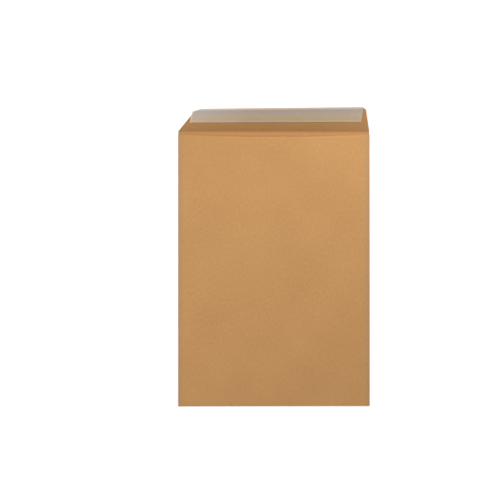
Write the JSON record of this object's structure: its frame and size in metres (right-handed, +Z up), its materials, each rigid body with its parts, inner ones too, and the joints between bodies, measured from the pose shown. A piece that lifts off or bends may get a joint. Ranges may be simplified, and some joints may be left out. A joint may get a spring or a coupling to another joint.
{
  "type": "kraft envelope",
  "caption": "Large kraft paper pocket envelope, plain on both faces, with a peel-and-seal strip on its open flap.",
  "frame": {"origin": "centre of the address face's outside, which lies on the floor", "axes": "+Y from the bottom fold to the flap, +X to the right seen from above, +Z up out of the back panel"},
  "size_m": [0.229, 0.3528, 0.0305],
  "materials": {
    "kraft_paper": "matte brown kraft, smooth machine finish with fine fibres",
    "sealing_glue": "clear tacky adhesive film, hidden under the liner",
    "release_paper": "thin grey-beige siliconised paper, satin"
  },
  "bodies": {
    "root": {"envelope": "kraft_paper", "adhesive_strip": "sealing_glue", "release_liner": "release_paper"}
  },
  "joints": []
}
